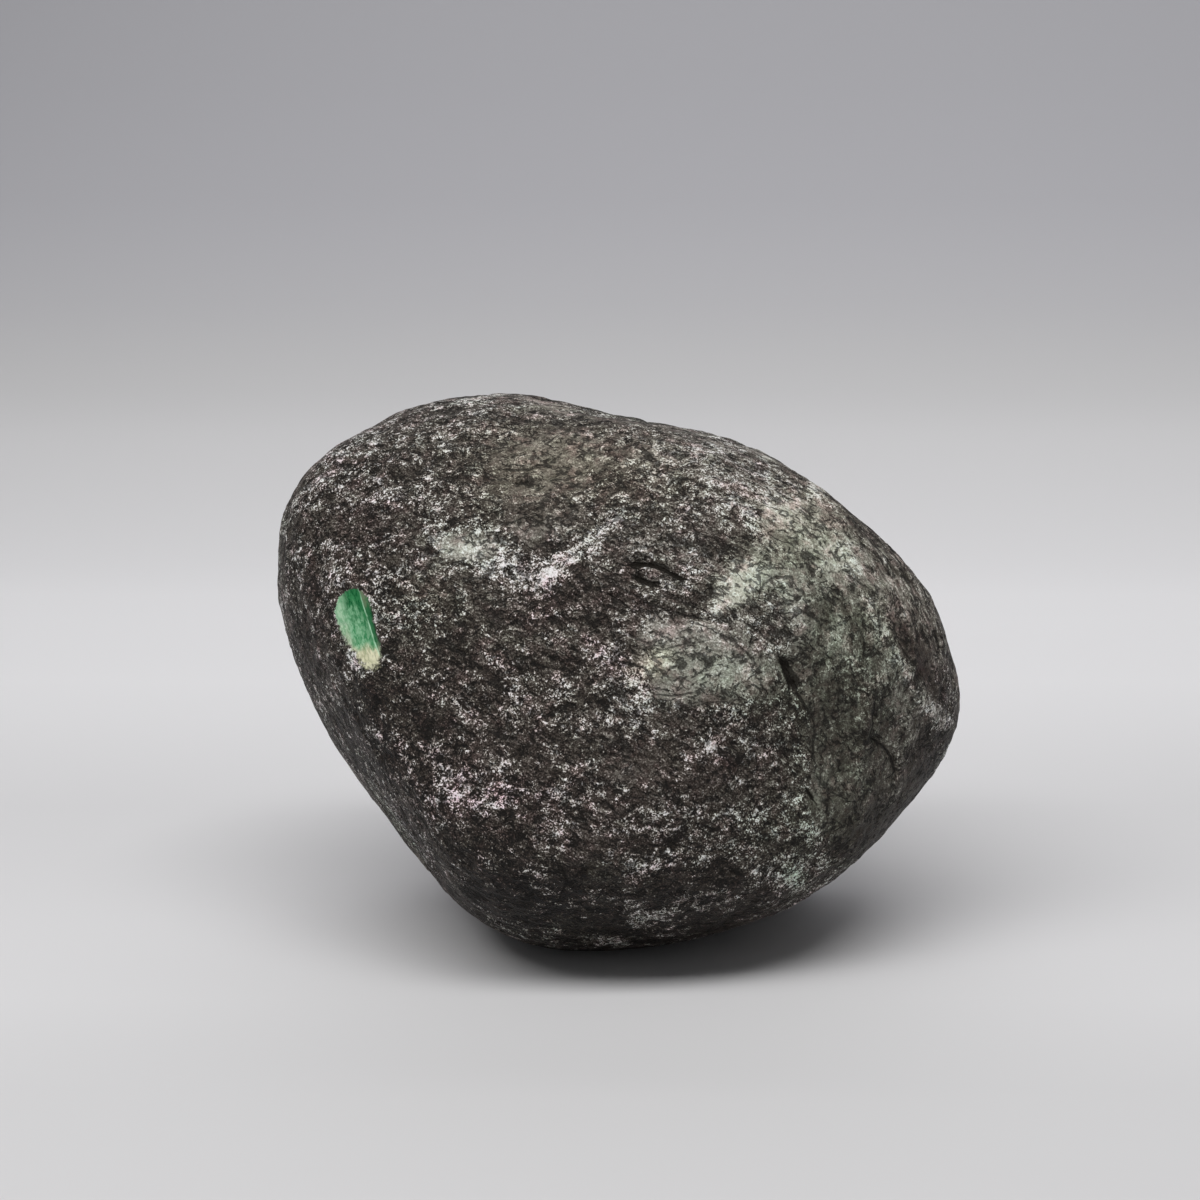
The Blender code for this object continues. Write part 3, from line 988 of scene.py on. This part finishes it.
def stone_material():
    mat, n, bsdf = material("jade_rind")
    coords = n.tree.nodes.new("ShaderNodeTexCoord")
    where = n.vec("SCALE", coords.outputs["Object"], scale=1000.0)  # mm
    at = {k: n.attribute(k) for k in marks}

    def centred(x, gain):
        return n.math("MULTIPLY_ADD", x, gain, -0.5 * gain)

    # coordinates that wander, so that grains are ragged
    drift = n.vec("SUBTRACT", n.noise(where, 0.9, 2.0, 0.6, 0.0, "Color"), (0.5, 0.5, 0.5))
    loose = n.vec("ADD", where, n.vec("SCALE", drift, scale=0.9))
    jitter = n.vec("SUBTRACT", n.noise(where, 0.30, 1.0, 0.5, 0.0, "Color"), (0.5, 0.5, 0.5))
    torn = n.vec("ADD", loose, n.vec("SCALE", jitter, scale=0.55))
    grain_a = n.along(torn, -28.0, 1.5)
    grain_b = n.along(torn, 38.0, 1.4)

    # how pale each place is: one level, from dark rind through grey felt to white grains
    edges = n.noise(loose, 2.4, 5.0, 0.68, 0.5)
    calm = n.step(n.math("ADD", at["smooth"], centred(edges, 1.8)), 0.20, 0.68)
    soft = n.step(at["smooth"], 0.15, 0.75)
    contrast = n.math("MULTIPLY_ADD", calm, -0.60, n.math("MULTIPLY_ADD", at["grit"], 0.40, 0.98))
    crumb_cells = n.cells(grain_a, 0.85)
    grain_cells = n.cells(grain_b, 0.50)
    crumbs = n.channel(crumb_cells, 0)
    grains = n.channel(grain_cells, 0)
    fine = n.noise(n.moved(where, (2.0, 8.0, 33.0)), 0.30, 1.0, 0.6)
    fibre = n.noise(n.along(n.moved(where, (12.0, 3.0, 5.0)), -34.0, 4.0), 0.62, 3.0, 0.62, 0.8)
    tuft = n.noise(n.along(n.moved(loose, (3.0, 47.0, 9.0)), -35.0, 1.6), 1.5, 3.0, 0.62, 0.5)
    cluster = n.noise(n.moved(loose, (31.0, 7.0, 3.0)), 4.0, 4.0, 0.60, 0.6)
    zone = n.noise(n.moved(where, (17.0, 2.0, 50.0)), 13.0, 3.0, 0.6)
    # pale threads that wind between darker cores
    winding = n.noise(n.moved(loose, (9.0, 60.0, 2.0)), 3.6, 2.0, 0.5, 0.9)
    net = n.step(n.math("ABSOLUTE", n.math("SUBTRACT", winding, 0.5)), 0.0, 0.085, 1.0, 0.0)
    # ledges: painted light where they face up, painted shade where they face down
    ledge_at = n.along(n.moved(loose, (4.0, 4.0, 71.0)), -24.0, 2.2)
    ledge = n.noise(ledge_at, 1.5, 3.0, 0.6, 0.4)
    ledge_up = n.noise(n.moved(ledge_at, tuple(0.28 * UP)), 1.5, 3.0, 0.6, 0.4)
    lit = n.math("SUBTRACT", ledge, ledge_up)
    # how densely pale grains lie
    clumps = n.math("MULTIPLY", centred(cluster, 3.5), n.math("MULTIPLY_ADD", soft, -0.35, 1.0))
    density = n.math("ADD", n.math("ADD", centred(tuft, 1.8), clumps), centred(zone, 1.5))
    density = n.math("ADD", density, n.math("MULTIPLY_ADD", net, 0.50, -0.18))
    # the mark from the relief paints light onto bumps and shade into hollows
    for mark, share in (("relief_shade", 0.20), ("dust", 0.60), ("bare", -0.62), ("pale", 1.2)):
        density = n.math("MULTIPLY_ADD", at[mark], share, density)
    crust = n.step(density, -0.35, 0.65)
    felt = n.math("ADD", n.math("ADD", centred(grains, 0.17), centred(crumbs, 0.16)), centred(fine, 1.3))
    felt = n.math("MULTIPLY", felt, n.math("MULTIPLY_ADD", crust, 0.35, 0.70))
    felt = n.math("MULTIPLY_ADD", crust, 0.12, felt)
    felt = n.math("MULTIPLY_ADD", lit, 0.85, felt)
    level = n.math("SUBTRACT", 1.0, n.math("MAXIMUM", at["edgewise"], at["upright"]))
    level = n.math("MULTIPLY", level, n.math("MULTIPLY_ADD", at["grit"], -0.55, 1.0))
    felt = n.math("MULTIPLY_ADD", centred(fibre, 0.80), level, felt)
    pale = n.math("MULTIPLY_ADD", felt, contrast, 0.380)
    pale = n.math("MULTIPLY_ADD", calm, 0.06, n.math("MULTIPLY_ADD", soft, 0.04, pale))
    share = n.math("MULTIPLY_ADD", calm, 0.03, n.math("MULTIPLY_ADD", soft, 0.045, 0.13))
    # the tone patches lift and lower the level; along the lower edges they paint shade
    pale = n.math("MULTIPLY_ADD", at["tone_and_shade"], share, pale)
    # painted shade: a scattering of grains drawn darker as small pits
    pit_shade = n.step(n.channel(grain_cells, 1), 0.04, 0.13, 1.0, 0.0)
    pale = n.math("MULTIPLY_ADD", pit_shade, -0.10, pale)
    streaks = n.noise(n.along(where, -60.0, 5.0), 0.9, 3.0, 0.65, 0.3)
    pale = n.math("MULTIPLY_ADD", centred(streaks, 1.0), at["edgewise"], pale)
    furrows = n.noise(n.along(where, -86.0, 3.5), 1.3, 3.0, 0.65, 0.4)
    pale = n.math("MULTIPLY_ADD", centred(furrows, 0.6), at["upright"], pale)
    # white grains stand out of the felt where they are dense
    seeds = n.math("ADD", n.math("MULTIPLY", grains, 0.6), n.math("MULTIPLY_ADD", fine, 1.2, -0.40))
    over = n.math("SUBTRACT", seeds, n.math("MULTIPLY_ADD", density, -0.26, 0.72))
    white = n.step(over, 0.0, 0.16)
    height = n.math("MULTIPLY_ADD", density, 0.10, 0.17)
    pale = n.math("MULTIPLY_ADD", n.math("MULTIPLY", white, height), contrast, pale)
    ramp = n.tree.nodes.new("ShaderNodeValToRGB")
    levels = [
        (0.00, (26, 23, 21)), (0.20, (36, 32, 29)), (0.38, (54, 49, 45)), (0.52, (80, 75, 70)),
        (0.66, (119, 115, 109)), (0.80, (170, 166, 160)), (1.00, (228, 225, 219)),
    ]  # fmt: skip
    ramp.color_ramp.elements[0].position, ramp.color_ramp.elements[0].color = 0.0, skin(*levels[0][1])
    ramp.color_ramp.elements[1].position, ramp.color_ramp.elements[1].color = 1.0, skin(*levels[-1][1])
    for position, colour in levels[1:-1]:
        ramp.color_ramp.elements.new(position).color = skin(*colour)
    n.put(ramp.inputs["Fac"], pale)
    colour = ramp.outputs["Color"]

    # tints
    spots = n.step(n.noise(n.moved(where, (70.0, 2.0, 2.0)), 2.2, 3.0, 0.6), 0.38, 0.62)
    colour = n.mix(
        n.math("MULTIPLY", at["pink"], n.math("MULTIPLY_ADD", spots, 0.7, 0.25), clamp=True),
        colour, (1.12, 0.94, 1.03, 1.0), "MULTIPLY",
    )  # fmt: skip
    colour = n.mix(n.math("MULTIPLY", at["olive"], 0.8, clamp=True), colour, (1.02, 1.0, 0.88, 1.0), "MULTIPLY")
    colour = n.mix(n.math("MULTIPLY", at["green"], 0.8, clamp=True), colour, (0.90, 1.03, 0.93, 1.0), "MULTIPLY")
    hue = n.noise(n.moved(where, (40.0, 41.0, 2.0)), 3.0, 4.0, 0.65)
    colour = n.mix(n.step(hue, 0.50, 0.66), colour, (1.09, 0.96, 0.99, 1.0), "MULTIPLY")
    colour = n.mix(n.step(hue, 0.50, 0.34), colour, (0.97, 1.01, 0.97, 1.0), "MULTIPLY")

    # fine cracks: thin level lines of a drawn-out noise, in short runs; and the slits of the crevices.
    # Both are drawn near black: painted shade in the cracks.
    def hairs(offset, angle, size, width):
        lines = n.noise(n.along(n.moved(loose, offset), angle, 2.6), size, 2.0, 0.55, 0.6)
        thin = n.step(n.math("ABSOLUTE", n.math("SUBTRACT", lines, 0.5)), 0.25 * width, width, 1.0, 0.0)
        runs = n.step(n.noise(n.moved(where, offset), size * 1.2, 3.0, 0.6), 0.50, 0.56)
        return n.math("MULTIPLY", thin, runs)

    crack_shade = n.math("MAXIMUM", hairs((5.0, 5.0, 85.0), -30.0, 3.4, 0.050), hairs((25.0, 9.0, 7.0), -42.0, 2.2, 0.055))
    crack_shade = n.math("MAXIMUM", crack_shade, hairs((61.0, 3.0, 11.0), 22.0, 3.0, 0.040))
    broken = n.step(n.noise(n.moved(where, (4.0, 4.0, 4.0)), 1.5, 3.0, 0.65), 0.30, 0.42)
    slit_shade = n.math("MULTIPLY", n.step(n.math("ABSOLUTE", at["slit"]), 0.45, 1.25, 1.0, 0.0), at["slit_on"], clamp=True)
    slit_shade = n.math("MULTIPLY", slit_shade, broken)
    gap_shade = n.math("MAXIMUM", n.math("MULTIPLY", crack_shade, 0.85), slit_shade)
    colour = n.mix(n.math("MULTIPLY", gap_shade, 0.94), colour, (0.0045, 0.0036, 0.0028, 1.0))
    # painted shade: near black in the hollows
    hole_shade_mask = n.step(n.math("ADD", at["hole_shade"], centred(tuft, 0.7)), 0.38, 0.62)
    colour = n.mix(n.math("MULTIPLY", hole_shade_mask, 0.88), colour, (0.011, 0.0085, 0.0055, 1.0))

    # the ground window
    rel = n.vec("SUBTRACT", where, tuple(win_mid - OFFSET))
    s = n.math("DIVIDE", n.vec("DOT_PRODUCT", rel, tuple(win_u)), half_w)  # -1 left to 1 right
    t = n.math("DIVIDE", n.vec("DOT_PRODUCT", rel, tuple(win_v)), -half_l)  # -1 top to 1 lower end
    ragged = n.noise(loose, 0.7, 3.0, 0.6)
    worn = n.step(n.math("MULTIPLY_ADD", s, -0.6, t), 0.0, 0.9)
    feather = n.math("MULTIPLY_ADD", worn, -1.0, -0.12)
    inside = n.math("MULTIPLY_ADD", centred(ragged, 1.3), n.math("MULTIPLY_ADD", worn, 1.6, 1.0), at["window"])
    inside = n.step(inside, feather, 0.16, 1.0, 0.0)
    grain = n.vec("ADD", where, n.vec("SCALE", tuple(win_v), scale=n.math("MULTIPLY", n.vec("DOT_PRODUCT", rel, tuple(win_v)), -0.55)))
    cloud = n.noise(n.moved(grain, (0.0, 13.0, 0.0)), 1.3, 4.0, 0.62, 0.4)
    wisp = n.noise(n.moved(grain, (8.0, 13.0, 0.0)), 0.5, 3.0, 0.65, 0.5)
    swirl = n.math("ADD", centred(cloud, 1.5), centred(wisp, 0.5))
    fleck = n.step(wisp, 0.36, 0.64)
    deep_green = n.mix(fleck, skin(25, 78, 45), skin(50, 112, 70))
    mid_green = n.mix(fleck, skin(62, 122, 82), skin(120, 162, 129))
    mint = n.mix(fleck, skin(104, 148, 114), skin(142, 172, 144))
    mint = n.mix(n.step(n.math("ADD", t, n.math("MULTIPLY", swirl, 0.5)), -0.5, 0.3), mint, n.mix(fleck, skin(136, 148, 124), skin(186, 190, 170)))
    cream = n.mix(fleck, skin(158, 158, 128), skin(196, 194, 168))
    # palest down the left side and down the middle, deepest at the top and down the right
    paler = n.math("ADD", n.math("MULTIPLY", t, 0.75), n.math("MULTIPLY", s, -0.45))
    jade = n.mix(n.step(n.math("ADD", paler, swirl), -0.55, 0.05), deep_green, mid_green)
    left = n.math("ADD", n.math("MULTIPLY_ADD", t, 0.04, s), n.math("MULTIPLY", swirl, 0.5))
    jade = n.mix(n.step(left, -0.84, -0.40, 1.0, 0.0), jade, mint)
    band = n.math("ADD", n.math("MULTIPLY_ADD", t, -0.12, s), n.math("MULTIPLY", swirl, 0.30))
    band = n.math("MULTIPLY", n.step(band, -0.05, 0.34), n.step(t, 0.10, 0.60, 1.0, 0.0))
    jade = n.mix(n.math("MULTIPLY", band, 0.30), jade, skin(24, 84, 48))
    low_end = n.math("ADD", n.math("MULTIPLY_ADD", s, -0.12, t), n.math("MULTIPLY", swirl, 0.34))
    jade = n.mix(n.step(low_end, 0.34, 0.58), jade, cream)
    # the facet beyond the ridge is in shade at the top, and pale lower down
    crest = n.math("MULTIPLY_ADD", t, 0.11, 0.43)
    facet = n.step(n.math("SUBTRACT", s, crest), 0.0, 0.06)
    shade = n.mix(n.step(n.math("ADD", t, swirl), -0.85, -0.35), skin(96, 108, 86), skin(36, 84, 52))
    shade = n.mix(n.step(n.math("ADD", t, swirl), 0.10, 0.70), shade, skin(110, 122, 100))
    jade = n.mix(n.math("MULTIPLY", facet, 0.85), jade, shade)
    # a thin pale line along the crest between the two facets: painted highlight
    waver = n.math("ADD", centred(cloud, 0.10), n.math("ADD", crest, 0.01))
    ridge = n.step(n.math("ABSOLUTE", n.math("SUBTRACT", s, waver)), 0.008, 0.042, 1.0, 0.0)
    ridge = n.math("MULTIPLY", ridge, n.step(n.noise(where, 1.6, 2.0, 0.5), 0.36, 0.60, 0.10, 0.9))
    ridge = n.math("MULTIPLY", ridge, n.step(t, 0.66, 0.84, 1.0, 0.0))
    jade = n.mix(n.math("MULTIPLY", ridge, 0.7), jade, skin(164, 200, 172))
    # painted shadow: a rim of dark rind stands over its right side and shades it
    shadow = n.math("MULTIPLY", n.step(at["window"], -0.75, -0.10), n.step(s, 0.5, 0.75))
    shadow = n.math("MULTIPLY", shadow, n.step(n.math("ABSOLUTE", n.math("ADD", t, -0.02)), 0.30, 0.55, 1.0, 0.0))
    jade = n.mix(shadow, jade, skin(26, 28, 22))
    colour = n.mix(inside, colour, jade)
    n.put(bsdf.inputs["Base Color"], colour)

    # roughness: waxy rind, dry grains, ground window
    rough = n.math("MULTIPLY_ADD", pale, 0.22, 0.50, clamp=True)
    rough = n.math("MULTIPLY_ADD", calm, -0.05, rough)
    rough = n.math("MULTIPLY_ADD", gap_shade, 0.2, rough)
    satin = n.math("MULTIPLY_ADD", wisp, 0.14, 0.22)
    rough = n.math("ADD", n.math("MULTIPLY", rough, n.math("SUBTRACT", 1.0, inside)), n.math("MULTIPLY", satin, inside))
    n.put(bsdf.inputs["Roughness"], rough)
    bsdf.inputs["IOR"].default_value = 1.55
    bsdf.inputs["Specular IOR Level"].default_value = 0.20
    n.put(bsdf.inputs["Coat Weight"], n.math("MULTIPLY", inside, 0.5))
    bsdf.inputs["Coat Roughness"].default_value = 0.18

    # relief finer than the mesh
    bumps = n.math("ADD", centred(crumbs, 0.30), n.math("ADD", centred(grains, 0.20), centred(fine, 1.0)))
    bumps = n.math("MULTIPLY", bumps, contrast)
    bumps = n.math("ADD", bumps, centred(tuft, 1.6))
    bumps = n.math("ADD", bumps, centred(ledge, 2.4))
    bumps = n.math("MULTIPLY_ADD", gap_shade, -1.0, bumps)
    bumps = n.math("MULTIPLY", bumps, n.math("MULTIPLY_ADD", inside, -0.98, 1.0))
    bump = n.tree.nodes.new("ShaderNodeBump")
    bump.inputs["Strength"].default_value = 1.0
    bump.inputs["Distance"].default_value = 0.00026
    n.put(bump.inputs["Height"], bumps)
    n.put(bsdf.inputs["Normal"], bump.outputs["Normal"])
    return mat


mesh.materials.append(stone_material())
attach(stone, "root")
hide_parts("boulder")


# ------------------------------------------------------------------ floor and backdrop: one sweep
SWEEP_FROM, SWEEP_BEND = 0.36, 0.45  # where it starts to rise behind the stone, and its radius


def sweep():
    profile = [(y, 0.0) for y in np.linspace(-1.6, SWEEP_FROM, 50)]
    for k in range(1, 65):
        a = math.radians(90.0 * k / 64)
        profile.append((SWEEP_FROM + SWEEP_BEND * math.sin(a), SWEEP_BEND * (1 - math.cos(a))))
    profile.append((SWEEP_FROM + SWEEP_BEND, 1.7))
    run = np.cumsum([0.0] + [math.dist(p0, p1) for p0, p1 in zip(profile, profile[1:])]) - 1.6
    # Painted light and shade: the paper's colour is graded to stand in for the fall-off of the light,
    # palest on the floor behind the stone, darker towards the front, a little dimmer under and just
    # behind the stone as painted shadow, and greyer and a little bluer as it rises.
    tone_and_shade = np.interp(
        run,
        [-0.10, -0.067, -0.052, -0.037, -0.02, 0.0, 0.02, 0.05, 0.08, 0.19, 0.31, 0.51, 0.545, 0.61, 0.68, 0.75, 0.81],
        [0.625, 0.67, 0.705, 0.74, 0.78, 0.75, 0.755, 0.745, 0.76, 0.925, 0.93, 0.71, 0.63, 0.53, 0.457, 0.42, 0.40],
    )
    bm = bmesh.new()
    layer = bm.verts.layers.float.new("tone_and_shade")
    rows = [[bm.verts.new((x, y, z)) for y, z in profile] for x in (-1.8, 1.8)]
    for row in rows:
        for vert, value in zip(row, tone_and_shade):
            vert[layer] = float(value)
    for k in range(len(profile) - 1):
        bm.faces.new((rows[0][k], rows[1][k], rows[1][k + 1], rows[0][k + 1]))
    me = bpy.data.meshes.new("sweep")
    bm.to_mesh(me)
    bm.free()
    me.shade_smooth()
    obj = bpy.data.objects.new("sweep", me)
    bpy.context.scene.collection.objects.link(obj)
    mat, n, bsdf = material("pale_sweep")
    shade = n.tree.nodes.new("ShaderNodeCombineColor")
    cool = n.math("MULTIPLY_ADD", n.step(n.attribute("tone_and_shade"), 0.62, 0.42), 0.05, 1.012)
    for socket, share in zip(shade.inputs, (1.0, 0.995, cool)):
        n.put(socket, n.math("MULTIPLY", n.attribute("tone_and_shade"), share))
    n.put(bsdf.inputs["Base Color"], shade.outputs[0])
    bsdf.inputs["Roughness"].default_value = 0.6
    bsdf.inputs["Specular IOR Level"].default_value = 0.3
    me.materials.append(mat)
    return obj


sweep()


# ------------------------------------------------------------------ light
def softbox(name, x, y, tip, lean, energy):
    data = bpy.data.lights.new(name, "AREA")
    data.shape = "RECTANGLE"
    data.size, data.size_y = 1.2, 0.6
    data.energy = energy
    data.color = (1.0, 0.995, 0.985)
    lamp = bpy.data.objects.new(name, data)
    lamp.location = (x, y, 0.90)
    lamp.rotation_euler = (math.radians(tip), math.radians(lean), 0.0)
    bpy.context.scene.collection.objects.link(lamp)


softbox("softbox_front", -0.15, -0.52, -28.0, -8.0, 16.3)
softbox("softbox_back", 0.08, 0.5, 50.0, 0.0, 6.0)

world = bpy.data.worlds.new("studio")
world.use_nodes = True
background = world.node_tree.nodes["Background"]
background.inputs["Color"].default_value = (0.98, 0.99, 1.0, 1.0)
background.inputs["Strength"].default_value = 0.17
bpy.context.scene.world = world
bpy.context.scene.view_settings.view_transform = "Standard"
bpy.context.scene.view_settings.look = "None"

# ------------------------------------------------------------------ camera
cam_data = bpy.data.cameras.new("camera")
cam_data.sensor_width = 36.0
cam_data.lens = 36.0 * DISTANCE / (FRAME * PX_MM)
cam_data.shift_x = -(CENTRE_PX[0] - FRAME / 2) / FRAME
cam_data.shift_y = (CENTRE_PX[1] - FRAME / 2) / FRAME
cam_data.clip_start = 0.01
camera = bpy.data.objects.new("camera", cam_data)
camera.location = Vector((-DISTANCE * AWAY - OFFSET) * MM)
camera.rotation_euler = (math.radians(90.0 - FRONT_TILT), 0.0, 0.0)
bpy.context.scene.collection.objects.link(camera)
bpy.context.scene.camera = camera

bpy.context.view_layer.update()
